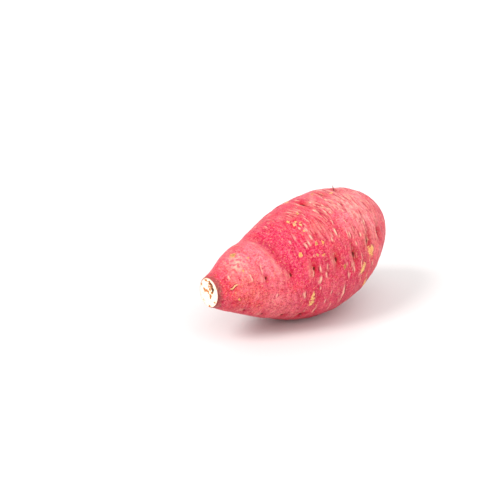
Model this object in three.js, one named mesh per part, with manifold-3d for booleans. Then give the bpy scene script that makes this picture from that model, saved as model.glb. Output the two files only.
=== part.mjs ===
// A whole sweet potato root, lying on the flat spot under its belly.
//
// Millimetres, +Z up. +X runs from the knife cut at the stem end to the tail, and the origin is on
// the surface that the root rests on, under the middle of its length and width. The root grew as
// one piece, so it is one solid: a turned body that is bent, made oval, pushed in and out where it
// grew unevenly, and then cut twice, by the knife at the stem end and by the flat spot it rests on.

import * as THREE from 'three';
import { mergeVertices } from 'three/addons/utils/BufferGeometryUtils.js';
import Module from 'manifold-3d';

// ---------------------------------------------------------------- overall sizes

const ROOT_LENGTH = 146; // from the knife cut to the end of the tail
const BELLY_WIDTH = 72.5; // across the thickest place
const BELLY_HEIGHT = 70; // the section there is a little lower than it is wide
const CUT_HEIGHT = 17.6; // of the oval face that the knife left
const CUT_WIDTH = 15.8;
const TAIL_DIAMETER = 5; // of the stub where the thin tail root broke off

// How full the root is between the cut and the tail, as a share of the belly, at shares of its length.
const NECK = { along: 0.095, fullness: 0.414 };
const SHOULDER = { along: 0.21, fullness: 0.628 };
const CHEST = { along: 0.345, fullness: 0.834 };
const BELLY_FRONT = { along: 0.48, fullness: 0.98 };
const BELLY_BACK = { along: 0.615, fullness: 1 };
const HIP = { along: 0.74, fullness: 0.897 };
const RUMP = { along: 0.845, fullness: 0.717 };
const HEEL = { along: 0.915, fullness: 0.462 };
const TAIL_BASE = { along: 0.965, fullness: 0.2 };

// ---------------------------------------------------------------- how the root bends

const CUT_RISE = 0.2; // the axis at the cut, above the axis at the belly
const CUT_SWING = 0.8; // the axis at the cut, to the left of the axis at the belly
const FRONT_BEND_ENDS = 0.4; // how far along the root these two die out
const TAIL_RISE = 13; // the axis at the tail, above the axis at the belly
const TAIL_RISE_STARTS = 0.33; // how far along the root the tail starts to lift
const TAIL_SWING = 10; // the axis at the tail, to the left of the axis at the belly
const FRONT_BEND = 2; // how sharply each of these bends sets in, as a power
const LIFT_BEND = 1.6;
const SWING_BEND = 2.2;

// ---------------------------------------------------------------- how it grew unevenly

// Swellings (positive height) and hollows (negative) of the skin. Each is centred at a share of the
// length and an angle round the axis, counted from the right side (-Y) up over the top, and fades
// over its own length along the root and its own width round it.
const SWELLINGS = [
  { name: 'neck lobe', along: 0.15, angle: 84, length: 12, width: 24, height: 2.7 },
  { name: 'saddle behind the lobe', along: 0.265, angle: 78, length: 8.5, width: 24, height: -3.4 },
  { name: 'saddle, lower part', along: 0.30, angle: 30, length: 9, width: 15, height: -1.4 },
  { name: 'chin under the neck', along: 0.19, angle: 302, length: 11, width: 13, height: 1.2 },
  { name: 'shoulder of the belly', along: 0.41, angle: 60, length: 14, width: 20, height: 1.0 },
  { name: 'hollow on the crown', along: 0.53, angle: 94, length: 9, width: 10, height: -1.3 },
  { name: 'flank swelling', along: 0.5, angle: 5, length: 20, width: 20, height: 0.8 },
  { name: 'eye hollow on the hip', along: 0.66, angle: 20, length: 5, width: 8, height: -1.1 },
  { name: 'eye hollow on the belly', along: 0.57, angle: 20, length: 4.5, width: 7, height: -0.9 },
  { name: 'left flank groove', along: 0.42, angle: 205, length: 16, width: 12, height: -1.9 },
  { name: 'left hip swelling', along: 0.7, angle: 190, length: 18, width: 20, height: 1.3 },
  { name: 'left shoulder swelling', along: 0.25, angle: 185, length: 13, width: 16, height: 1.2 },
  { name: 'fold above the tail', along: 0.9, angle: 150, length: 8, width: 12, height: -1.2 },
  { name: 'fold below the tail', along: 0.9, angle: 300, length: 7, width: 10, height: -0.9 },
];

// ---------------------------------------------------------------- the two cuts

const KNIFE_TRIM = 5; // length of neck above the cut that the knife took off
const STEM_DIAMETER = 12; // of the neck where it met the stem, before the cut
const FOOT_DEPTH = 1.0; // how much the belly is flattened where it rests

// ---------------------------------------------------------------- how finely it is faceted

const RINGS = 48;
const SIDES = 60;
const CUTTER_SIZE = 3 * ROOT_LENGTH; // of the blocks that make the cuts
const SAME_POINT = 1e-4; // points nearer than this are one point

const wasm = await Module();
wasm.setup();

// The body as it comes off the lathe, along +X, with the knife cut's plane at x = 0.
function turnedBody() {
  const stations = [NECK, SHOULDER, CHEST, BELLY_FRONT, BELLY_BACK, HIP, RUMP, HEEL, TAIL_BASE];
  const outline = new THREE.SplineCurve([
    new THREE.Vector2(STEM_DIAMETER / 2, -KNIFE_TRIM),
    new THREE.Vector2(CUT_HEIGHT / 2, 0),
    ...stations.map((s) => new THREE.Vector2(s.fullness * BELLY_WIDTH / 2, s.along * ROOT_LENGTH)),
    new THREE.Vector2(TAIL_DIAMETER / 2, ROOT_LENGTH - TAIL_DIAMETER / 4),
  ]);
  const stemEnd = new THREE.Vector2(0, -KNIFE_TRIM);
  const tailEnd = new THREE.Vector2(0, ROOT_LENGTH);
  const profile = [stemEnd, ...outline.getSpacedPoints(RINGS), tailEnd];
  const geometry = new THREE.LatheGeometry(profile, SIDES);
  geometry.rotateZ(-Math.PI / 2);
  return geometry;
}

// How far the skin is pushed out at a share of the length and an angle in degrees round the axis.
function unevenness(along, angle, radius) {
  let height = 0;
  for (const s of SWELLINGS) {
    const away = THREE.MathUtils.euclideanModulo(angle - s.angle + 180, 360) - 180;
    const forward = ((along - s.along) * ROOT_LENGTH) / s.length;
    const round = (THREE.MathUtils.degToRad(away) * radius) / s.width;
    height += s.height * Math.exp(-forward * forward - round * round);
  }
  return height;
}

// Where the axis of the root lies at a share of the length.
function axisAt(along) {
  const front = Math.max(0, 1 - along / FRONT_BEND_ENDS) ** FRONT_BEND;
  const back = Math.max(0, (along - TAIL_RISE_STARTS) / (1 - TAIL_RISE_STARTS));
  return {
    y: CUT_SWING * front + TAIL_SWING * Math.max(0, along) ** SWING_BEND,
    z: CUT_RISE * front + TAIL_RISE * back ** LIFT_BEND,
  };
}

// Moves each point of the turned body to where it is on the grown root.
function grow(geometry) {
  const points = geometry.getAttribute('position');
  const flatness = BELLY_HEIGHT / BELLY_WIDTH;
  for (let i = 0; i < points.count; i += 1) {
    const x = points.getX(i);
    const y = points.getY(i);
    const z = points.getZ(i);
    const along = x / ROOT_LENGTH;
    const radius = Math.hypot(y, z);
    const angle = THREE.MathUtils.radToDeg(Math.atan2(z, -y));
    const pushed = 1 + unevenness(along, angle, radius) / Math.max(radius, CUT_HEIGHT / 2);
    const behindCut = THREE.MathUtils.smoothstep(along, 0, SHOULDER.along);
    const width = THREE.MathUtils.lerp(CUT_WIDTH / CUT_HEIGHT, 1, behindCut);
    const height = THREE.MathUtils.lerp(1, flatness, behindCut);
    const axis = axisAt(along);
    points.setXYZ(i, x, y * pushed * width + axis.y, z * pushed * height + axis.z);
  }
  return geometry;
}

// A closed geometry as a solid that can be cut.
function toSolid(geometry) {
  geometry.deleteAttribute('normal');
  geometry.deleteAttribute('uv');
  const merged = mergeVertices(geometry, SAME_POINT);
  return new wasm.Manifold(
    new wasm.Mesh({
      numProp: 3,
      vertProperties: new Float32Array(merged.getAttribute('position').array),
      triVerts: new Uint32Array(merged.getIndex().array),
    }),
  );
}

function toGeometry(solid) {
  const mesh = solid.getMesh();
  const geometry = new THREE.BufferGeometry();
  geometry.setAttribute('position', new THREE.BufferAttribute(new Float32Array(mesh.vertProperties), 3));
  geometry.setIndex(new THREE.BufferAttribute(new Uint32Array(mesh.triVerts), 1));
  geometry.computeVertexNormals();
  return geometry;
}

// A block that takes away everything on one side of the plane x = 0 or z = 0.
function block(towards) {
  const geometry = new THREE.BoxGeometry(CUTTER_SIZE, CUTTER_SIZE, CUTTER_SIZE);
  const reach = towards.clone().multiplyScalar(CUTTER_SIZE / 2);
  geometry.translate(reach.x, reach.y, reach.z);
  return toSolid(geometry);
}

// The root with its knife cut, set down on its flat spot with the origin in the middle under it.
function sweetPotatoRoot() {
  const grown = grow(turnedBody());
  grown.computeBoundingBox();
  grown.translate(0, 0, -FOOT_DEPTH - grown.boundingBox.min.z);
  const knifeSide = block(new THREE.Vector3(-1, 0, 0));
  const surfaceBelow = block(new THREE.Vector3(0, 0, -1));
  const solid = toSolid(grown).subtract(knifeSide).subtract(surfaceBelow);
  const root = toGeometry(solid);
  root.computeBoundingBox();
  const middle = root.boundingBox.getCenter(new THREE.Vector3());
  root.translate(-middle.x, -middle.y, 0);
  return root;
}

const skin = new THREE.MeshStandardMaterial({ color: 0xd8476a, roughness: 0.5, metalness: 0 });

const root = new THREE.Mesh(sweetPotatoRoot(), skin);
root.name = 'sweet_potato';

const sweetPotato = new THREE.Group();
sweetPotato.add(root);

export default sweetPotato;
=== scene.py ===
"""A whole sweet potato root lying on a pale surface, with its knife-cut stem end towards the viewer.

Metres, +Z up. +X runs from the knife cut to the tail. One closed mesh is wrapped on the CAD solid, and
the skin's relief, eyes, scars and rootlets are then worked into it. Places on the root are given as mm
along it from the knife cut, and degrees round it: 0 is its right side (-Y), 90 the top, 180 the left
side and 270 underneath.
"""

import math

import bmesh
import bpy
import numpy as np
from mathutils import Matrix, Vector, noise
from mathutils.bvhtree import BVHTree


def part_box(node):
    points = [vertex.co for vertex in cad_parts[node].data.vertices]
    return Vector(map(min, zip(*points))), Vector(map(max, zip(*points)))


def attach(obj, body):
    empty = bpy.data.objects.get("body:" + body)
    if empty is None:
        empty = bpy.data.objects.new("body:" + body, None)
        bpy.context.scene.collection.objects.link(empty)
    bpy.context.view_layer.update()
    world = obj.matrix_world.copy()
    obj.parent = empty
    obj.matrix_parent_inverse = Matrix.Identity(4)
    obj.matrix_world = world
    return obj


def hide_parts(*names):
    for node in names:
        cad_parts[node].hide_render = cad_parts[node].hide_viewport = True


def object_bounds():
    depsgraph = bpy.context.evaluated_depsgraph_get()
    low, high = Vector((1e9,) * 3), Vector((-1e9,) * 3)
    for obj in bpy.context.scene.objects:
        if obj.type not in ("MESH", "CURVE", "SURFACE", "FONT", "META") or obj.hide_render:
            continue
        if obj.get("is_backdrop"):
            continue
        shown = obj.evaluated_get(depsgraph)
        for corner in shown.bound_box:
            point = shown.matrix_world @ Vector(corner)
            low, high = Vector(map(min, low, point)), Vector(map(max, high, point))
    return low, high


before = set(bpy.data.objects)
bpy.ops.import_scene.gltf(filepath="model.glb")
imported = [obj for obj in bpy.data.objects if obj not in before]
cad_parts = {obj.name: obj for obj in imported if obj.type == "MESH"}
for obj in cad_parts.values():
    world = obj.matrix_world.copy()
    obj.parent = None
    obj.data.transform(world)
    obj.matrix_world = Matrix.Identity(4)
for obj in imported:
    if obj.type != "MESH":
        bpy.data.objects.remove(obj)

CAD_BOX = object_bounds()
MM = 0.001
NODE = "sweet_potato"
PIECE = "sweet_potato_root"

# ------------------------------------------------------------------ how finely the root is meshed

SIDES = 58  # round the root, before subdivision
RINGS = 104  # from the middle of the cut to the middle of the tail
CUT_RINGS = 7  # of them on the face that the knife left
LEVELS = 2  # of subdivision
SMOOTHING = 2  # rounds that take the solid's facets out
RIM_HOLDERS = (0.25, 0.9)  # mm behind the knife's edge, where rings hold it crisp

# ------------------------------------------------------------------ marks that can be told apart

# Places on the skin are mm along from the cut and degrees round from the right side up over the top.
# Thin roots grow in rows along a sweet potato, and each leaves an eye: place of a row's first eye,
# the gap to the next in mm, how many there are, and the row's angle.
EYE_ROWS = [
    (26, 14.5, 7, 19),  # the right side
    (77, 14, 3, 93),  # the crown
    (4, 12.5, 5, -47),  # low on the right
    (36, 26, 4, 175),  # the left side
    (52, 28, 3, 232),  # low on the left
    (118, 9, 2, 330),  # under the tail
]
EYE_WANDER = (0.8, 2)  # how far an eye strays from its row: mm along, degrees round
# Hair-thin roots that are left in an eye: its number, counting through the rows from 0, length and
# thickness in mm, lean towards the tail, lean round the root.
ROOTLETS = [
    (6, 1.7, 0.5, 0.6, 0.3),
    (8, 0.9, 0.6, -0.5, -0.2),
    (9, 4.6, 0.85, 0.35, -0.3),
    (10, 0.7, 0.7, 0.2, 0.3),
    (12, 1.0, 0.7, 0.4, 0.6),
    (13, 1.3, 0.6, -0.3, 0.5),
    (14, 1.6, 0.55, 0.6, 0.6),
    (16, 1.4, 0.5, -0.5, 0.4),
    (17, 2.2, 0.55, 0.5, 0.3),
    (21, 1.6, 0.5, 0.3, -0.6),
    (23, 1.2, 0.5, 0.6, 0.3),
]
ROOTLET_JOINTS = 5
# Where pale corky tissue flaked: place, spread round and along in mm, how many flakes, their width
# in mm, how orange.
FLAKED = [
    (98, 8, 11, 5, 4, 5.0, 0.3),  # behind the row of eyes
    (55, -18, 5, 2, 3, 3.4, 0.2),  # low on the front flank
    (57, 70, 6, 5, 7, 1.7, 0.4),  # the shoulder
    (64, 28, 7, 8, 6, 2.3, 0.6),  # above the eyes
    (18, 40, 16, 5, 5, 1.6, 0.7),  # the neck
    (85, 180, 50, 30, 14, 3.0, 0.4),  # the left side
]
# Where the skin cracked most as the root swelled: place, spread round and along in mm, how many
# cracks, their length in mm.
CRACKED = [
    (58, 54, 7, 2.5, 8, 4.5),  # behind the neck's fold
    (73, 70, 8, 8, 10, 6.0),  # the crown
    (80, 45, 9, 6, 8, 6.5),  # the upper flank
    (98, 30, 8, 6, 8, 7.5),  # the hip
    (87, 0, 6, 8, 10, 5.5),  # under the eyes
    (60, -12, 10, 5, 11, 5.5),  # low on the front flank
]
# The longest one, low on the flank: place, length and width in mm, strength.
LONG_CRACK = (76, -20, 22.0, 0.95, 1.0)
RANDOM_STREAKS = 400  # fainter ones all over, hardly any on the neck
ON_THE_NECK = 0.10  # the share of them that is there
NECK_STARTS, NECK_ENDS, CRACKS_END = 8, 44, 134  # mm along
LINE_WIDTH = 0.66  # how much of a streak's width its pale line takes
PEEL = (9, 20, 4.8, 0.6)  # the curled strip near the cut: place, length, width
CREASE = (38, 60, 20.0, 0.80)  # behind the neck's lobe: place, half its length round the root, depth
# Spots of dried latex on the cut: mm right of and above its middle as it is faced, width, height,
# darkness, strength.
LATEX = [
    (3.6, 2.7, 2.0, 2.8, 1.0, 1.0),
    (2.9, 0.7, 1.6, 2.2, 0.35, 1.0),
    (2.7, 3.6, 2.0, 2.2, 0.45, 1.0),
    (0.6, 6.9, 1.8, 1.2, 0.6, 1.0),
    (1.7, 6.1, 1.8, 1.4, 0.75, 1.0),
    (3.1, 5.1, 1.5, 1.9, 0.7, 1.0),
    (0.6, 5.6, 1.8, 1.6, 0.2, 1.0),
    (0.2, 3.9, 1.5, 1.4, 0.2, 1.0),
    (1.5, 4.5, 1.6, 1.8, 0.25, 0.9),
    (-0.2, 0.6, 1.1, 1.4, 0.1, 0.9),
    (1.5, -1.9, 1.8, 2.6, 0.3, 1.0),
    (1.0, 2.3, 1.5, 1.6, 0.1, 0.8),
    (-4.3, 1.5, 1.2, 1.1, 0.15, 0.9),
    (-2.2, 0.7, 4.3, 2.4, 0.0, 0.35),
    (-6.3, 3.6, 1.1, 1.8, 0.1, 0.8),
    (-2.3, 6.9, 3.2, 1.2, 0.1, 0.6),
    (5.2, -4.6, 1.6, 1.6, 0.0, 0.45),
    (0.8, -8.0, 1.9, 1.1, 0.1, 0.6),
    (-4.4, -5.6, 1.1, 1.2, 0.0, 0.5),
]
# Where the skin's colour leans one way: place, how far the tint spreads round and along in mm,
# strength.
WARM_TINTS = [
    (106, 32, 22, 14, 0.8),
    (15, 5, 16, 10, 1.0),
    (33, -25, 14, 10, 0.4),
    (60, 55, 14, 9, 0.4),
    (70, 200, 30, 22, 0.5),
]
# Deeper crimson: partly the skin's pigment, partly painted shade in hollows, behind the neck's fold and low
# on the right side.
DEEP_TINTS_AND_SHADE = [
    (48, 55, 24, 8, 0.9),
    (55, 25, 18, 11, 0.8),
    (75, 0, 20, 14, 0.55),
    (80, -30, 18, 13, 0.8),
    (90, 98, 14, 12, 0.5),
    (66, 80, 12, 8, 0.4),
    (45, 200, 26, 14, 0.8),
    (90, 170, 20, 14, 0.5),
]
# Paler pink: partly the skin's pale bloom, partly painted highlight on the neck's lobe and along the top of
# the root.
PALE_TINTS_AND_HIGHLIGHTS = [
    (110, 50, 24, 13, 0.9),
    (92, 62, 22, 12, 0.65),
    (20, 60, 16, 11, 0.55),
    (36, -30, 20, 13, 0.5),
    (30, 50, 20, 5, 0.6),
    (68, -10, 12, 8, 0.35),
    (100, 120, 20, 15, 0.5),
    (20, 150, 10, 8, 0.6),
]
EYE_TINT = (5, 2.6)  # how far the deep colour of an eye spreads round and along in mm
LOBE_HIGHLIGHT = (15, 70)  # where a painted highlight lies on the neck's lobe
SEED = 11


def linear(hex_colour):
    """An sRGB hex colour as the linear RGBA that a shader socket takes."""
    parts = [int(hex_colour[i:i + 2], 16) / 255 for i in (1, 3, 5)]
    return [p / 12.92 if p <= 0.04045 else ((p + 0.055) / 1.055) ** 2.4 for p in parts] + [1.0]


def bump_of(distance):
    """1 in the middle, falling smoothly towards 0 past 1."""
    return np.exp(-distance * distance)


def step(low, high, value):
    """0 below low, 1 above high, smooth between."""
    t = np.clip((value - low) / (high - low), 0, 1)
    return t * t * (3 - 2 * t)


# ------------------------------------------------------------------ the CAD solid


class Solid:
    """The CAD solid of the root with its bent axis, for putting points on its surface."""

    def __init__(self, node):
        mesh = bmesh.new()
        mesh.from_mesh(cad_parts[node].data)
        bmesh.ops.remove_doubles(mesh, verts=mesh.verts, dist=0.01 * MM)
        self.tree = BVHTree.FromBMesh(mesh)
        points = np.array([v.co for v in mesh.verts])
        mesh.free()
        self.low, self.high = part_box(node)
        self.length = self.high.x - self.low.x
        inside = (points[:, 0] > self.low.x + MM) & (points[:, 0] < self.high.x - MM)
        stations = np.linspace(self.low.x, self.high.x, 49)
        near = [inside & (abs(points[:, 0] - x) < 2.6 * MM) for x in stations]
        held = [(x, *points[n][:, 1:].mean(0)) for x, n in zip(stations, near) if n.any()]
        share = [(h[0] - self.low.x) / self.length for h in held]
        self.bend_y = np.polyfit(share, [h[1] for h in held], 5)
        self.bend_z = np.polyfit(share, [h[2] for h in held], 5)
        self.measure_arc()

    def axis(self, x):
        """The middle of the root at x."""
        share = (np.asarray(x) - self.low.x) / self.length
        return np.polyval(self.bend_y, share), np.polyval(self.bend_z, share)

    def surface(self, x, angle):
        """The point of the surface at x, at an angle in radians round the axis."""
        y, z = self.axis(x)
        towards = Vector((0, -math.cos(angle), math.sin(angle)))
        hit = self.tree.ray_cast(Vector((x, y, z)), towards)[0]
        return hit or Vector((x, y, z))

    def measure_arc(self):
        """The distance along the skin from the knife's edge, at places along the root."""
        self.arc_x = np.linspace(self.low.x + 0.1 * MM, self.high.x - 0.15 * MM, 400)
        radii = []
        for x in self.arc_x:
            y, z = self.axis(x)
            points = [self.surface(x, q * math.pi / 2) for q in range(4)]
            radii.append(np.mean([math.hypot(p.y - y, p.z - z) for p in points]))
        steps = np.hypot(np.diff(self.arc_x), np.diff(radii))
        self.arc = np.concatenate([[0], np.cumsum(steps)])


solid = Solid(NODE)

# ------------------------------------------------------------------ the blank: a fine, smooth skin


def ring_places():
    """For each ring from the cut's middle to the tail: its x, and how far out of the axis it lies."""
    rim = solid.low.x
    places = [(rim, share) for share in np.linspace(0, 0.93, CUT_RINGS)] + [(rim, 0.985)]
    places += [(rim + edge * MM, 1.0) for edge in RIM_HOLDERS]
    first = np.interp(rim + 2.2 * MM, solid.arc_x, solid.arc)
    along = np.linspace(first, solid.arc[-1], RINGS - len(places))
    places += [(x, 1.0) for x in np.interp(along, solid.arc, solid.arc_x)]
    return places + [(solid.high.x, 0.0)]


def wrapped_mesh():
    """A closed ball of rings, pulled onto the CAD solid with its poles on the cut and on the tail."""
    places = ring_places()
    mesh = bmesh.new()
    bmesh.ops.create_uvsphere(mesh, u_segments=SIDES, v_segments=RINGS, radius=1)
    rim = solid.low.x + RIM_HOLDERS[0] * MM
    for vertex in mesh.verts:
        ring = round(math.acos(max(-1, min(1, vertex.co.z))) / math.pi * RINGS)
        angle = math.atan2(vertex.co.y, vertex.co.x)
        x, spread = places[ring]
        y, z = solid.axis(x)
        edge = solid.surface(max(x, rim), angle) if x < 0 else solid.surface(x, angle)
        vertex.co = (x, y + (edge.y - y) * spread, z + (edge.z - z) * spread)
    on_cut = solid.low.x + 0.01 * MM
    for face in mesh.faces:
        face.smooth = True
        face.material_index = int(all(v.co.x < on_cut for v in face.verts))
    skin = [v for v in mesh.verts if v.co.x > solid.low.x + 3 * MM and v.co.z > 0.5 * MM]
    for _ in range(SMOOTHING):
        bmesh.ops.smooth_vert(mesh, verts=skin, factor=0.5, use_axis_x=True, use_axis_y=True, use_axis_z=True)
    bmesh.ops.recalc_face_normals(mesh, faces=mesh.faces)
    return mesh


def finely_divided(mesh, materials):
    """The mesh as data, subdivided to the level at which the relief is worked."""
    data = bpy.data.meshes.new("root_blank")
    mesh.to_mesh(data)
    mesh.free()
    for material in materials:
        data.materials.append(material)
    blank = bpy.data.objects.new("root_blank", data)
    bpy.context.scene.collection.objects.link(blank)
    divide = blank.modifiers.new("divide", "SUBSURF")
    divide.levels = divide.render_levels = LEVELS
    seen = blank.evaluated_get(bpy.context.evaluated_depsgraph_get())
    fine = bpy.data.meshes.new_from_object(seen)
    bpy.data.objects.remove(blank)
    return fine


# ------------------------------------------------------------------ working the skin


class Skin:
    """The fine skin as arrays: where each point is, in mm along and round the root, and its relief."""

    def __init__(self, data):
        self.data = data
        self.co = self.read("co")
        self.normal = self.read("normal")
        y, z = solid.axis(self.co[:, 0])
        self.side = (self.co[:, 1] - y) / MM
        self.rise = (self.co[:, 2] - z) / MM
        self.radius = np.hypot(self.side, self.rise)
        self.angle = np.arctan2(self.rise, -self.side)
        self.along = (self.co[:, 0] - solid.low.x) / MM
        self.arc = np.interp(self.co[:, 0], solid.arc_x, solid.arc) / MM
        self.by_arc = np.argsort(self.arc)
        self.on_cut = step(0.15, 0.02, self.along)
        foot = step(0.6, 0.1, self.co[:, 2] / MM) * step(-0.9, -0.98, self.normal[:, 2])
        self.free = (1 - self.on_cut) * (1 - foot)
        self.relief = np.zeros(len(self.co))
        self.marks = {}

    def read(self, what):
        values = np.zeros(len(self.data.vertices) * 3)
        self.data.vertices.foreach_get(what, values)
        return values.reshape(-1, 3)

    def arc_at(self, along):
        return np.interp(solid.low.x + along * MM, solid.arc_x, solid.arc) / MM

    def band(self, along, reach):
        """The points within a reach of a place, measured along the root."""
        middle = self.arc_at(along)
        low, high = np.searchsorted(self.arc[self.by_arc], (middle - reach, middle + reach))
        return self.by_arc[low:high]

    def near(self, along, degrees, tilt=0.0, within=slice(None)):
        """How far each point is from a place, in mm round the root and along it."""
        away = (self.angle[within] - math.radians(degrees) + math.pi) % (2 * math.pi) - math.pi
        across = away * self.radius[within]
        forward = self.arc[within] - self.arc_at(along)
        return (across * math.cos(tilt) + forward * math.sin(tilt),
                forward * math.cos(tilt) - across * math.sin(tilt))

    def noise(self, size, shift=0.0, round_size=None):
        """Smooth noise with lumps of a size in mm, drawn out round the root if round_size is given."""
        lumps = np.stack([self.arc if round_size else self.along, self.side, self.rise], 1)
        lumps = lumps / (size, round_size or size, round_size or size) + shift
        return np.array([noise.noise(Vector(p)) for p in lumps])

    def mark(self, name, amount, within=slice(None)):
        """Adds to one of the masks that the materials read, and gives the amount back."""
        mask = self.marks.setdefault(name, np.zeros(len(self.co)))
        mask[within] = np.maximum(mask[within], amount)
        return amount


def unevenness(skin):
    """The slow swells and the small lumps of a root that grew in soil."""
    rear = step(25, 60, skin.along)
    skin.relief += skin.free * step(0.5, 6, skin.along) * (
        0.62 * skin.noise(19, 3.1)
        + 0.46 * skin.noise(8.5, 8.7)
        + 0.09 * skin.noise(2.6, 1.9)
        + 0.18 * rear * skin.noise(3.4, 5.3, 14)
    )


def crease(skin):
    """The fold where the neck's lobe overhangs the narrow place behind it, with painted shade in the fold and
    a painted highlight on the lobe's lip.
    """
    along, degrees, reach, depth = CREASE
    across, forward = skin.near(along, degrees)
    held = step(1.2, 0.45, abs(across) / reach)
    forward = forward + 1.2 * skin.noise(12, 0.7) + 0.05 * across
    skin.relief += depth * held * (0.40 * bump_of((forward + 4.6) / 3.4) - 0.8 * bump_of(forward / 3.0)
                                   - 0.45 * bump_of((forward - 4) / 5.5))
    # Painted shade in the fold, and a painted highlight on the lobe's lip in front of it.
    skin.mark("fold", 0.50 * held * bump_of((forward - 1.0) / 2.4))
    skin.mark("pale_and_highlight", 0.22 * held * bump_of((forward + 3.8) / 1.4))


def folds(skin):
    """Long thin folds of skin that wander round the root, closest together on the crown of the belly. Their
    grooves carry painted shade; on the crown their ridges are paled, partly paler skin and partly painted
    highlight.
    """
    crown = bump_of(skin.near(82, 75)[0] / 30) * step(44, 60, skin.along) * step(132, 112, skin.along)
    patch = step(-0.34, 0.16, skin.noise(13, 6.1))
    where = skin.free * patch * (0.35 * step(48, 66, skin.along) + 0.65 * crown)
    for size, round_size, shift, depth, width in ((3.0, 17, 2.2, 0.26, 0.09), (1.9, 10, 7.9, 0.14, 0.10)):
        line = skin.noise(size, shift, round_size)
        groove = where * bump_of(line / width)
        ridge = where * bump_of((abs(line) - 2.6 * width) / (1.2 * width))
        skin.relief += depth * (0.5 * ridge - groove)
        # Painted shade in the grooves; on the crown, pale ridges that are partly paler skin and partly
        # painted highlight.
        skin.mark("fold", groove * (0.9 if depth > 0.2 else 0.55))
        skin.mark("pale_and_highlight", crown * ridge * (0.42 if depth > 0.2 else 0.25))


def eye_places():
    """Where the eyes are, row by row."""
    draw = np.random.default_rng(SEED)
    along_root, round_root = EYE_WANDER
    return [(first + gap * number + draw.normal(0, along_root), degrees + draw.normal(0, round_root))
            for first, gap, count, degrees in EYE_ROWS for number in range(count)]


def scattered(draw, regions):
    """A place for each mark of each region, with what the region says of its marks."""
    for along, degrees, round_spread, along_spread, count, *kind in regions:
        for _ in range(count):
            away = math.degrees(draw.normal(0, round_spread) / (solid.high.z / MM / 2))
            yield (along + draw.normal(0, along_spread), degrees + away, *kind)


def eyes(skin, ragged):
    """Hollows with a raised lip and the dark slit that a thin root left, larger on the thick belly."""
    for along, degrees in eye_places():
        across, forward = skin.near(along, degrees)
        girth = skin.radius[np.argmin(np.hypot(across, forward))] / skin.radius.max()
        wide, long, depth, slit = 2 + 9 * girth ** 2, 2.5 + 2.5 * girth, 1.15 * girth ** 2, 0.5 + 2.3 * girth
        distance = np.hypot(across / (wide / 2), forward / (long / 2))
        lip = bump_of(np.hypot(across / (wide / 2), (forward + long * 0.62) / (long * 0.30)))
        back = bump_of(np.hypot(across / (wide / 2), (forward - long * 0.75) / (long * 0.34)))
        skin.relief += 1.25 * depth * skin.free * (0.35 * lip + 0.25 * back - bump_of(distance))
        # The hollow is darkened, the more the deeper it is: partly the eye's own deeper crimson, partly
        # painted shade.
        skin.mark("hollow", skin.free * bump_of(distance * 0.85) * min(1, 0.25 + 0.8 * depth))
        skin.mark("pale_and_highlight", 0.28 * skin.free * lip)
        pit = np.hypot(across / (slit * 0.58), forward / (slit * 0.32)) * (1 + 0.6 * ragged)
        skin.relief -= 0.35 * skin.free * bump_of(pit)
        skin.mark("hole", skin.free * bump_of(pit))
        edge = np.hypot((across + slit * 0.2) / (slit * 0.5), (forward + slit * 0.42) / (slit * 0.16))
        skin.relief += 0.15 * skin.free * bump_of(edge)
        skin.mark("pale_and_highlight", 0.8 * skin.free * bump_of(edge))


def scuffs(skin, ragged):
    """Thin corky flakes that stand a little proud of the skin."""
    draw = np.random.default_rng(SEED + 1)
    for along, degrees, size, colour in scattered(draw, FLAKED):
        wide, long = size * draw.uniform(0.6, 1.4), size * draw.uniform(0.5, 1.0)
        orange, olive = colour * draw.uniform(0.4, 1.6), 0.8 * (draw.random() < 0.2)
        across, forward = skin.near(along, degrees)
        bow = forward + 0.12 * across * across / wide
        distance = np.hypot(across / (wide / 2), bow / (long / 2)) + 0.8 * ragged
        flake = skin.mark("cork", skin.free * step(1.35, 0.55, distance))
        skin.relief += 0.16 * flake
        # A painted shadow line under the flake's edge, on its tail side.
        lifted_edge_shadow = bump_of((distance - 1.25) / 0.28) * step(-0.2, 0.8, bow / (long / 2))
        skin.mark("crack_and_shadow", 0.55 * skin.free * lifted_edge_shadow)
        around = skin.free * step(1.6, 0.4, distance)
        skin.mark("orange", around * orange)
        skin.mark("olive", around * olive)


def streaks(skin):
    """Short pale ridges round the root, each with a darker line behind it, partly a crack and partly painted
    shadow of the ridge.
    """
    draw = np.random.default_rng(SEED)
    places = [LONG_CRACK]
    for along, degrees, length in scattered(draw, CRACKED):
        places.append((along, degrees, length * draw.uniform(0.6, 1.4), draw.uniform(0.55, 0.80),
                       draw.uniform(0.7, 1.0)))
    for _ in range(RANDOM_STREAKS):
        along = NECK_ENDS + (CRACKS_END - NECK_ENDS) * draw.random() ** 0.9
        if draw.random() < ON_THE_NECK:
            along = draw.uniform(NECK_STARTS, NECK_ENDS)
        length = draw.uniform(1.6, 4.4) + 5.0 * draw.random() ** 4
        places.append((along, draw.uniform(-180, 180), length, draw.uniform(0.4, 0.75),
                       draw.uniform(0.1, 0.9) ** 1.25))
    wander = 0.55 * skin.noise(3.1, 5.5) + 0.3 * skin.noise(1.3, 2.5)
    for along, degrees, length, width, strength in places:
        points = skin.band(along, 4 + 0.12 * length)
        across, forward = skin.near(along, degrees, draw.normal(0, 0.10), points)
        forward = forward + draw.normal(0, 0.5) * (across / length) ** 2 + wander[points]
        reach = step(1.0, 0.15, abs(across) / (length / 2) + 0.3 * wander[points])
        reach = reach * strength * skin.free[points]
        width = width * LINE_WIDTH
        behind = 1 if draw.random() < 0.65 else -1
        # The pale ridge, and beside it a dark line that is partly a crack and partly painted shadow.
        ridge = skin.mark("pale_and_highlight", reach * bump_of(forward / width), points)
        crack_and_shadow = skin.mark("crack_and_shadow", reach * bump_of((forward - behind * 1.7 * width) / (0.8 * width)), points)
        skin.relief[points] += 0.20 * ridge - 0.26 * crack_and_shadow


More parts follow.
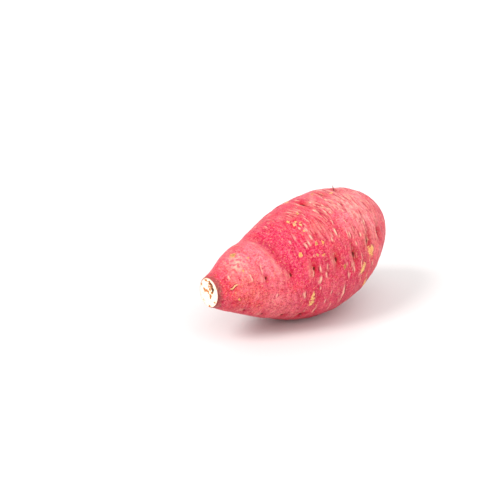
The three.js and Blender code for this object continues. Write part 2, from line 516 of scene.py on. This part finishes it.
def peel(skin):
    """A narrow strip of skin that has lifted and curled into an S near the cut."""
    along, degrees, length, width = PEEL
    across, forward = skin.near(along, degrees, 1.42)
    curl = forward + 0.55 * np.sin(across / length * 5.6)
    reach = step(1.05, 0.85, abs(across) / (length / 2))
    strip = reach * bump_of(curl / (width * 0.55))
    # A painted shade line under the strip's curled edges.
    shade_under = reach * bump_of((abs(curl) - 1.15 * width) / (width * 0.4))
    skin.relief += 0.45 * strip - 0.2 * shade_under
    skin.mark("pale_and_highlight", 0.9 * strip)
    skin.mark("cork", strip)
    skin.mark("olive", 0.8 * strip * step(0.0, -2.2, across))
    skin.mark("crack_and_shadow", shade_under)


def tints(skin):
    """Slow changes of colour over the skin: pigment, with painted shade among the deep tints and painted
    highlight among the pale ones and on the neck's lobe.
    """
    drift = skin.noise(7, 4.4) + 0.6 * skin.noise(2.8, 1.3)
    for name, places in (("warm", WARM_TINTS), ("deep_colour_and_shade", DEEP_TINTS_AND_SHADE), ("bloom_and_highlight", PALE_TINTS_AND_HIGHLIGHTS)):
        total = np.zeros(len(skin.co))
        for along, degrees, wide, long, strength in places:
            across, forward = skin.near(along, degrees)
            total += strength * bump_of(np.hypot(across / wide, forward / long) * (1 + 0.45 * drift))
        for along, degrees in eye_places() if name == "deep_colour_and_shade" else ():
            across, forward = skin.near(along, degrees)
            total += bump_of(np.hypot(across / EYE_TINT[0], forward / EYE_TINT[1]) * (1 + 0.45 * drift))
        skin.mark(name, skin.free * np.clip(total, 0, 1))
    # A painted highlight on the neck's lobe, broken up by noise.
    across, forward = skin.near(*LOBE_HIGHLIGHT)
    lobe_highlight = bump_of(np.hypot(across / 6.5, forward / 5)) * step(-0.25, 0.25, skin.noise(1.7, 8.3))
    skin.mark("pale_and_highlight", 0.62 * skin.free * lobe_highlight)


def ends(skin, ragged):
    """The dried skin behind the knife cut and at the tail, darker on the cut's right side with painted shade,
    and the slight curl of its edge.
    """
    # Stronger on the cut's right side: painted shade there.
    right_side_shade = 0.55 + 0.45 * bump_of(skin.near(0, 15)[0] / 13)
    behind = step(4.2, 0.5, skin.along + 1.3 * ragged) * right_side_shade
    tail = step(solid.length / MM - 6, solid.length / MM - 1.5, skin.along + 1.2 * ragged)
    skin.mark("dry_and_shade", np.maximum(behind, tail) * (1 - skin.on_cut))
    skin.relief += 0.12 * skin.free * bump_of((skin.along - 0.7) / 0.5)
    skin.relief += 0.35 * tail * ragged
    skin.relief += 0.14 * skin.free * step(110, 140, skin.along) * skin.noise(1.6, 6.6, 7)


def cut_face(skin):
    """The flesh that the knife left: a faint unevenness, a sunken ring, and beads of dried latex."""
    flat = skin.on_cut > 0.5
    half_width, half_height = abs(skin.side[flat]).max(), abs(skin.rise[flat]).max()
    out = np.hypot(skin.side / half_width, skin.rise / half_height)
    ragged = skin.noise(1.1, 7.7)
    skin.relief += skin.on_cut * (0.06 * skin.noise(2.2, 2.8) - 0.16 * bump_of((out - 0.88) / 0.05))
    for right, above, wide, high, darkness, strength in LATEX:
        distance = np.hypot((-skin.side - right) / (wide / 2), (skin.rise - above) / (high / 2))
        distance = distance + 0.6 * ragged
        bead = skin.mark("latex", strength * skin.on_cut * step(1.35, 0.5, distance))
        skin.relief += 0.10 * bead
        skin.mark("latex_dark", bead * darkness)
    skin.mark("rind", skin.on_cut * step(0.93, 0.985, out + 0.02 * ragged))


def worked(data):
    """Gives the blank its relief and the masks that its materials read."""
    skin = Skin(data)
    ragged = skin.noise(1.3, 9.2)
    unevenness(skin)
    crease(skin)
    folds(skin)
    eyes(skin, ragged)
    scuffs(skin, ragged)
    streaks(skin)
    peel(skin)
    ends(skin, ragged)
    cut_face(skin)
    tints(skin)
    co = skin.co + skin.normal * (skin.relief * MM)[:, None]
    co[:, 2] = np.maximum(co[:, 2], 0)
    data.vertices.foreach_set("co", co.ravel())
    for name, mask in skin.marks.items():
        data.attributes.new(name, "FLOAT", "POINT").data.foreach_set("value", mask.astype(np.float32))
    grain = np.stack([skin.arc, skin.side, skin.rise], 1).astype(np.float32)
    data.attributes.new("grain", "FLOAT_VECTOR", "POINT").data.foreach_set("vector", grain.ravel())
    data.update()
    lay_out_map(data, skin)


# ------------------------------------------------------------------ the map of the surface

SKIN_HEIGHT = 0.855  # of the square map: the skin, slit open underneath and laid flat
CUT_SIZE = 0.125  # of the cut's face, in the corner above it


def lay_out_map(data, skin):
    """Lays the skin and the cut's face side by side in a map that no two faces share."""
    count = len(data.loops)
    corner = np.zeros(count, dtype=np.int32)
    data.loops.foreach_get("vertex_index", corner)
    sides = np.zeros(len(data.polygons), dtype=np.int32)
    data.polygons.foreach_get("loop_total", sides)
    kind = np.zeros(len(data.polygons), dtype=np.int32)
    data.polygons.foreach_get("material_index", kind)
    face = np.repeat(np.arange(len(sides)), sides)
    side = np.bincount(face, skin.side[corner]) / sides
    rise = np.bincount(face, skin.rise[corner]) / sides
    turn = (np.arctan2(rise, -side) / (2 * math.pi) + 0.25) % 1
    away = skin.angle[corner] / (2 * math.pi) + 0.25 - turn[face]
    away = (away + 0.5) % 1 - 0.5
    away[skin.radius[corner] < 0.05] = 0
    u = (turn[face] + away) * 0.99 + 0.005
    down = skin.arc + np.minimum(skin.along, 0.1)
    v = 0.005 + SKIN_HEIGHT * down[corner] / down.max()
    cut = kind[face] == 1
    reach = CUT_SIZE / (2 * skin.radius[skin.on_cut > 0.5].max())
    u[cut] = 0.01 + CUT_SIZE / 2 - skin.side[corner][cut] * reach
    v[cut] = 0.99 - CUT_SIZE / 2 + skin.rise[corner][cut] * reach
    layer = data.uv_layers.new(name="OFBake")
    layer.data.foreach_set("uv", np.stack([u, v], 1).astype(np.float32).ravel())


# ------------------------------------------------------------------ materials


def add(tree, kind, inputs=(), **settings):
    """Adds a shader node with its settings, and gives its inputs values or links."""
    new = tree.nodes.new("ShaderNode" + kind)
    for name, value in settings.items():
        setattr(new, name, value)
    for name, value in dict(inputs).items():
        if isinstance(value, bpy.types.NodeSocket):
            tree.links.new(value, new.inputs[name])
        else:
            new.inputs[name].default_value = value
    return new


def blank_material(name):
    material = bpy.data.materials.new(name)
    material.use_nodes = True
    tree = material.node_tree
    tree.nodes.clear()
    shader = add(tree, "BsdfPrincipled")
    add(tree, "OutputMaterial", {"Surface": shader.outputs[0]})
    return material, tree, shader


def patterns(tree, vector, table):
    """Noise masks: lump size in mm, detail, roughness, and where each goes from 0 to 1."""
    masks = {}
    for name, (size, detail, rough, low, high) in table.items():
        lumps = add(tree, "TexNoise",
                    {"Vector": vector, "Scale": 1 / size, "Detail": detail, "Roughness": rough})
        masks[name] = add(tree, "MapRange", {0: lumps.outputs[0], 1: low, 2: high},
                          interpolation_type="SMOOTHSTEP").outputs[0]
    return masks


def layered(tree, base, layers):
    """Colours laid over each other: each has a mask, a strength and a colour."""
    for mask, strength, colour in layers:
        amount = add(tree, "Math", {0: mask, 1: strength}, operation="MULTIPLY", use_clamp=True).outputs[0]
        base = add(tree, "Mix", {0: amount, 6: base, 7: linear(colour)}, data_type="RGBA").outputs[2]
    return base


def in_mm(tree):
    """Object coordinates in mm."""
    place = add(tree, "TexCoord").outputs["Object"]
    return add(tree, "VectorMath", {0: place, 3: 1 / MM}, operation="SCALE").outputs[0]


def periderm():
    """Root periderm, washed: a thin corky skin, matt but waxy. It gives a soft satin sheen over a crimson
    that is mottled with a pale bloom, with finer lines round the root where it stretched as it swelled.
    Its colour also carries painted highlight along the top of the root, and painted shade in hollows and
    folds."""
    material, tree, shader = blank_material("washed_periderm")
    mask = {name: add(tree, "Attribute", attribute_name=name).outputs["Fac"]
            for name in ("warm", "deep_colour_and_shade", "bloom_and_highlight", "hollow", "pale_and_highlight", "crack_and_shadow", "fold", "cork", "orange",
                         "olive", "hole", "dry_and_shade")}
    # The skin's real grain is about a tenth of a millimetre, too fine to show from the camera. "fuzz"
    # and "speckle" below, and "fibre" after them, are drawn about ten times as coarse, so that it shows.
    spots = patterns(tree, in_mm(tree), {
        "patches": (24, 2, 0.5, 0.42, 0.66),
        "clouds": (11, 2, 0.5, 0.48, 0.66),
        "rubbed": (6.5, 3, 0.6, 0.50, 0.68),
        "mottle": (4.5, 3, 0.6, 0.44, 0.64),
        "blotch": (2.6, 3, 0.6, 0.50, 0.66),
        "fuzz": (1.15, 3, 0.7, 0.44, 0.62),
        "speckle": (0.80, 2, 0.6, 0.50, 0.64),
        "freckle": (1.7, 2, 0.5, 0.60, 0.70),
        "ragged": (0.9, 3, 0.7, 0.30, 0.70),
    })
    grain = add(tree, "Attribute", attribute_name="grain").outputs["Vector"]
    stretched = add(tree, "VectorMath", {0: grain, 1: (1.0, 0.13, 0.13)}, operation="MULTIPLY").outputs[0]
    lines = patterns(tree, stretched, {
        "fibre": (1.0, 3, 0.6, 0.50, 0.66),
        "stretch": (2.1, 3, 0.6, 0.50, 0.66),
    })
    # Among these layers the bloom carries painted highlight as well as the pale bloom, and the deep tints,
    # the eyes' hollows, the folds' grooves and the cracks carry painted shade as well as the skin's own
    # colour.
    colour = layered(tree, linear("#C20E3A"), [
        (spots["patches"], 0.75, "#B80042"),
        (spots["clouds"], 0.50, "#DA363E"),
        (mask["warm"], 0.66, "#DA5436"),
        (mask["deep_colour_and_shade"], 0.90, "#B8003E"),
        (spots["rubbed"], 0.24, "#F08494"),
        (mask["bloom_and_highlight"], 0.70, "#F09CA0"),
        (spots["mottle"], 0.50, "#E04656"),
        (spots["blotch"], 0.58, "#A2002C"),
        (mask["deep_colour_and_shade"], 0.55, "#B60040"),
        (lines["stretch"], 0.34, "#96002A"),
        (lines["fibre"], 0.22, "#F0908E"),
        (spots["fuzz"], 0.36, "#EC7486"),
        (spots["speckle"], 0.52, "#8A0024"),
        (spots["freckle"], 0.34, "#BA4428"),
        (mask["hollow"], 0.90, "#AE0020"),
        (mask["fold"], 0.90, "#92002A"),
        (mask["crack_and_shadow"], 0.94, "#5C0614"),
    ])
    # Pale corky lines, lips and strips, together with painted highlights on the lobe, the crease's lip and
    # the crown's ridges.
    line = add(tree, "Mix", {0: spots["mottle"], 6: linear("#F2C2A6"), 7: linear("#E6968C")},
               data_type="RGBA")
    amount = add(tree, "Math", {0: mask["pale_and_highlight"], 1: 0.95}, operation="MULTIPLY", use_clamp=True).outputs[0]
    colour = add(tree, "Mix", {0: amount, 6: colour, 7: line.outputs[2]}, data_type="RGBA").outputs[2]
    # Dried skin behind the cut and at the tail, with painted shade on the cut's right side.
    colour = layered(tree, colour, [(mask["dry_and_shade"], 0.80, "#74423A")])
    torn = add(tree, "Math", {0: spots["ragged"], 1: 0.9, 2: mask["cork"]},
               operation="MULTIPLY_ADD").outputs[0]
    flaked = add(tree, "MapRange", {0: torn, 1: 0.70, 2: 1.08}, interpolation_type="SMOOTHSTEP").outputs[0]
    flake = layered(tree, linear("#E4BC7C"), [
        (mask["orange"], 1.0, "#CC7430"),
        (mask["olive"], 0.8, "#6A5428"),
        (spots["blotch"], 0.55, "#D07C5C"),
        (spots["speckle"], 0.60, "#B0603C"),
    ])
    colour = add(tree, "Mix", {0: flaked, 6: colour, 7: flake}, data_type="RGBA").outputs[2]
    pit = add(tree, "MapRange", {0: mask["hole"], 1: 0.30, 2: 0.62},
              interpolation_type="SMOOTHSTEP").outputs[0]
    colour = layered(tree, colour, [(mask["hole"], 0.85, "#9C0016"), (pit, 0.90, "#541408")])
    rough = add(tree, "MapRange", {0: spots["fuzz"], 3: 0.38, 4: 0.54}).outputs[0]
    rough = add(tree, "Mix", {0: flaked, 2: rough, 3: 0.75}).outputs[0]
    height = add(tree, "Math", {0: spots["fuzz"], 1: lines["fibre"]}, operation="ADD").outputs[0]
    relief = add(tree, "Bump", {"Strength": 0.5, "Distance": 0.10 * MM, "Height": height}).outputs[0]
    for name, value in (("Base Color", colour), ("Roughness", rough), ("Normal", relief)):
        tree.links.new(value, shader.inputs[name])
    shader.inputs["IOR"].default_value = 1.42
    shader.inputs["Specular IOR Level"].default_value = 0.14
    shader.inputs["Sheen Weight"].default_value = 0.02
    shader.inputs["Sheen Roughness"].default_value = 0.45
    shader.inputs["Sheen Tint"].default_value = linear("#F7B8C0")
    return material


def raw_flesh():
    """Raw flesh, sliced with a knife: dense and moist. It gives a near-white, faintly grainy face with
    spots of latex that dried orange-brown, and a thin tan rind."""
    material, tree, shader = blank_material("raw_sliced_flesh")
    mask = {name: add(tree, "Attribute", attribute_name=name).outputs["Fac"]
            for name in ("latex", "latex_dark", "rind")}
    spots = patterns(tree, in_mm(tree), {
        "cells": (0.8, 2, 0.5, 0.45, 0.7),
        "specks": (0.7, 2, 0.6, 0.66, 0.72),
        "stain": (3.5, 2, 0.5, 0.5, 0.7),
        "ragged": (0.8, 3, 0.7, 0.30, 0.70),
    })
    torn = add(tree, "Math", {0: spots["ragged"], 1: 0.5, 2: mask["latex"]},
               operation="MULTIPLY_ADD").outputs[0]
    dried = add(tree, "MapRange", {0: torn, 1: 0.34, 2: 0.62}, interpolation_type="SMOOTHSTEP").outputs[0]
    dark = add(tree, "MapRange", {0: mask["latex_dark"], 1: 0.15, 2: 0.8},
               interpolation_type="SMOOTHSTEP").outputs[0]
    colour = layered(tree, linear("#ECE4D2"), [
        (spots["cells"], 0.40, "#E2D8BE"),
        (spots["stain"], 0.35, "#E4CE98"),
        (spots["specks"], 0.60, "#BC7C30"),
        (dried, 0.95, "#BA660E"),
        (dark, 0.95, "#401806"),
        (mask["rind"], 0.90, "#A46C46"),
    ])
    relief = add(tree, "Bump", {"Strength": 0.4, "Distance": 0.1 * MM, "Height": spots["cells"]}).outputs[0]
    tree.links.new(colour, shader.inputs["Base Color"])
    tree.links.new(relief, shader.inputs["Normal"])
    shader.inputs["Roughness"].default_value = 0.5
    shader.inputs["IOR"].default_value = 1.38
    return material


def dried_rootlet():
    """Dried rootlets: withered thin roots. They give small brown-pink spikes, blotched with a paler
    brown-pink.
    """
    material, tree, shader = blank_material("dried_rootlet")
    spots = patterns(tree, in_mm(tree), {"blotch": (0.7, 2, 0.5, 0.4, 0.65)})
    colour = layered(tree, linear("#8C3440"), [(spots["blotch"], 0.8, "#B87468")])
    tree.links.new(colour, shader.inputs["Base Color"])
    shader.inputs["Roughness"].default_value = 0.7
    return material


# ------------------------------------------------------------------ rootlets, and the map


def grow_rootlets(data):
    """Draws each rootlet out of one face of the skin, thinning and bending as it goes."""
    mesh = bmesh.new()
    mesh.from_mesh(data)
    mesh.faces.ensure_lookup_table()
    middles = np.array([f.calc_center_median() for f in mesh.faces])
    places = eye_places()
    bases = []
    for eye, *_ in ROOTLETS:
        along, degrees = places[eye]
        bases.append(solid.surface(solid.low.x + along * MM, math.radians(degrees)))
    roots = [mesh.faces[int(np.argmin(((middles - base) ** 2).sum(1)))] for base in bases]
    for face, (_, length, thick, lean, turn) in zip(roots, ROOTLETS):
        up = face.normal.copy()
        tailward = (Vector((1, 0, 0)) - up * up.x).normalized()
        roundward = up.cross(tailward)
        size = math.sqrt(face.calc_area())
        for joint in range(ROOTLET_JOINTS):
            face = bmesh.ops.extrude_discrete_faces(mesh, faces=[face])["faces"][0]
            grown = (joint + 1) / ROOTLET_JOINTS
            heading = (up + (tailward * lean + roundward * turn) * grown).normalized()
            thickness = thick * MM * (1 - 0.75 * grown)
            centre = face.calc_center_median()
            shrink = Matrix.Scale(thickness / size, 4)
            bmesh.ops.transform(mesh, matrix=shrink, space=Matrix.Translation(-centre), verts=face.verts)
            bmesh.ops.translate(mesh, vec=heading * length * MM / ROOTLET_JOINTS, verts=face.verts)
            size = thickness
            for side in {side for edge in face.edges for side in edge.link_faces}:
                side.material_index = 2
    map_rootlets(mesh)
    mesh.to_mesh(data)
    mesh.free()


def map_rootlets(mesh):
    """Gives each of the rootlets' faces a cell of its own in the strip beside the cut's face."""
    layer = mesh.loops.layers.uv["OFBake"]
    low, cell, columns = 1.01 - CUT_SIZE, 0.012, 64
    for place, face in enumerate(f for f in mesh.faces if f.material_index == 2):
        column, row = place % columns, place // columns
        for loop, (u, v) in zip(face.loops, ((0, 0), (1, 0), (1, 1), (0, 1))):
            loop[layer].uv = (0.16 + (column + 0.8 * u) * cell, low + (row + 0.8 * v) * cell)


# ------------------------------------------------------------------ putting the root together


def make_root():
    materials = [periderm(), raw_flesh(), dried_rootlet()]
    data = finely_divided(wrapped_mesh(), materials)
    worked(data)
    grow_rootlets(data)
    piece = bpy.data.objects.new(PIECE, data)
    bpy.context.scene.collection.objects.link(piece)
    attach(piece, "root")
    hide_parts(NODE)


make_root()

# ------------------------------------------------------------------ the surface, light and camera


def soft_light(name, towards, spread, strength):
    """Even light from one side of the room, as from a wide diffuser."""
    lamp = bpy.data.lights.new(name, "SUN")
    lamp.angle = math.radians(spread)
    lamp.energy = strength
    light = bpy.data.objects.new(name, lamp)
    light.rotation_mode = "QUATERNION"
    light.rotation_quaternion = Vector(towards).to_track_quat("Z", "Y")
    bpy.context.scene.collection.objects.link(light)


def pale_floor():
    mesh = bmesh.new()
    bmesh.ops.create_grid(mesh, x_segments=2, y_segments=2, size=6.0)
    data = bpy.data.meshes.new("floor")
    mesh.to_mesh(data)
    mesh.free()
    floor = bpy.data.objects.new("floor", data)
    bpy.context.scene.collection.objects.link(floor)
    paint = bpy.data.materials.new("pale grey laminate")
    paint.use_nodes = True
    shader = paint.node_tree.nodes["Principled BSDF"]
    shader.inputs["Base Color"].default_value = linear("#D8D5D4")
    shader.inputs["Roughness"].default_value = 0.45
    data.materials.append(paint)
    floor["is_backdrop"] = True


VIEW_AZIMUTH, VIEW_ELEVATION = -43.5, 21  # degrees
VIEW_DISTANCE = 0.95
VIEW_HEIGHT = 0.033  # of the point that the distance is counted from
AIM_LEFT, AIM_UP = 0.0358, 0.0117  # of that point, so that the root lies right of the picture's middle
LENS, SENSOR = 118.75, 36  # mm
VIEW_ENDS = 20
WORLD_STRENGTH = 1.03


def camera():
    azimuth, elevation = math.radians(VIEW_AZIMUTH), math.radians(VIEW_ELEVATION)
    flat = math.cos(elevation)
    back = Vector((math.sin(azimuth) * flat, -math.cos(azimuth) * flat, math.sin(elevation)))
    right = Vector((math.cos(azimuth), math.sin(azimuth), 0))
    up = back.cross(right)
    middle = Vector((0, 0, VIEW_HEIGHT))
    place = middle + back * VIEW_DISTANCE
    aim = middle - right * AIM_LEFT + up * AIM_UP
    data = bpy.data.cameras.new("camera")
    data.lens = LENS
    data.sensor_width = SENSOR
    data.clip_end = VIEW_ENDS
    cam = bpy.data.objects.new("camera", data)
    cam.location = place
    cam.rotation_mode = "QUATERNION"
    cam.rotation_quaternion = (aim - place).to_track_quat("-Z", "Y")
    bpy.context.scene.collection.objects.link(cam)
    bpy.context.scene.camera = cam


pale_floor()
camera()
soft_light("window", (-0.95, 0.15, 0.95), 26, 2.2)
soft_light("reflector", (0.0, -0.90, 0.85), 80, 1.35)
world = bpy.data.worlds.new("white room")
world.use_nodes = True
world.node_tree.nodes["Background"].inputs["Color"].default_value = linear("#FFFFFF")
world.node_tree.nodes["Background"].inputs["Strength"].default_value = WORLD_STRENGTH
bpy.context.scene.world = world
bpy.context.scene.view_settings.view_transform = "Standard"

[[list(corner) for corner in box] for box in (CAD_BOX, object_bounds())]
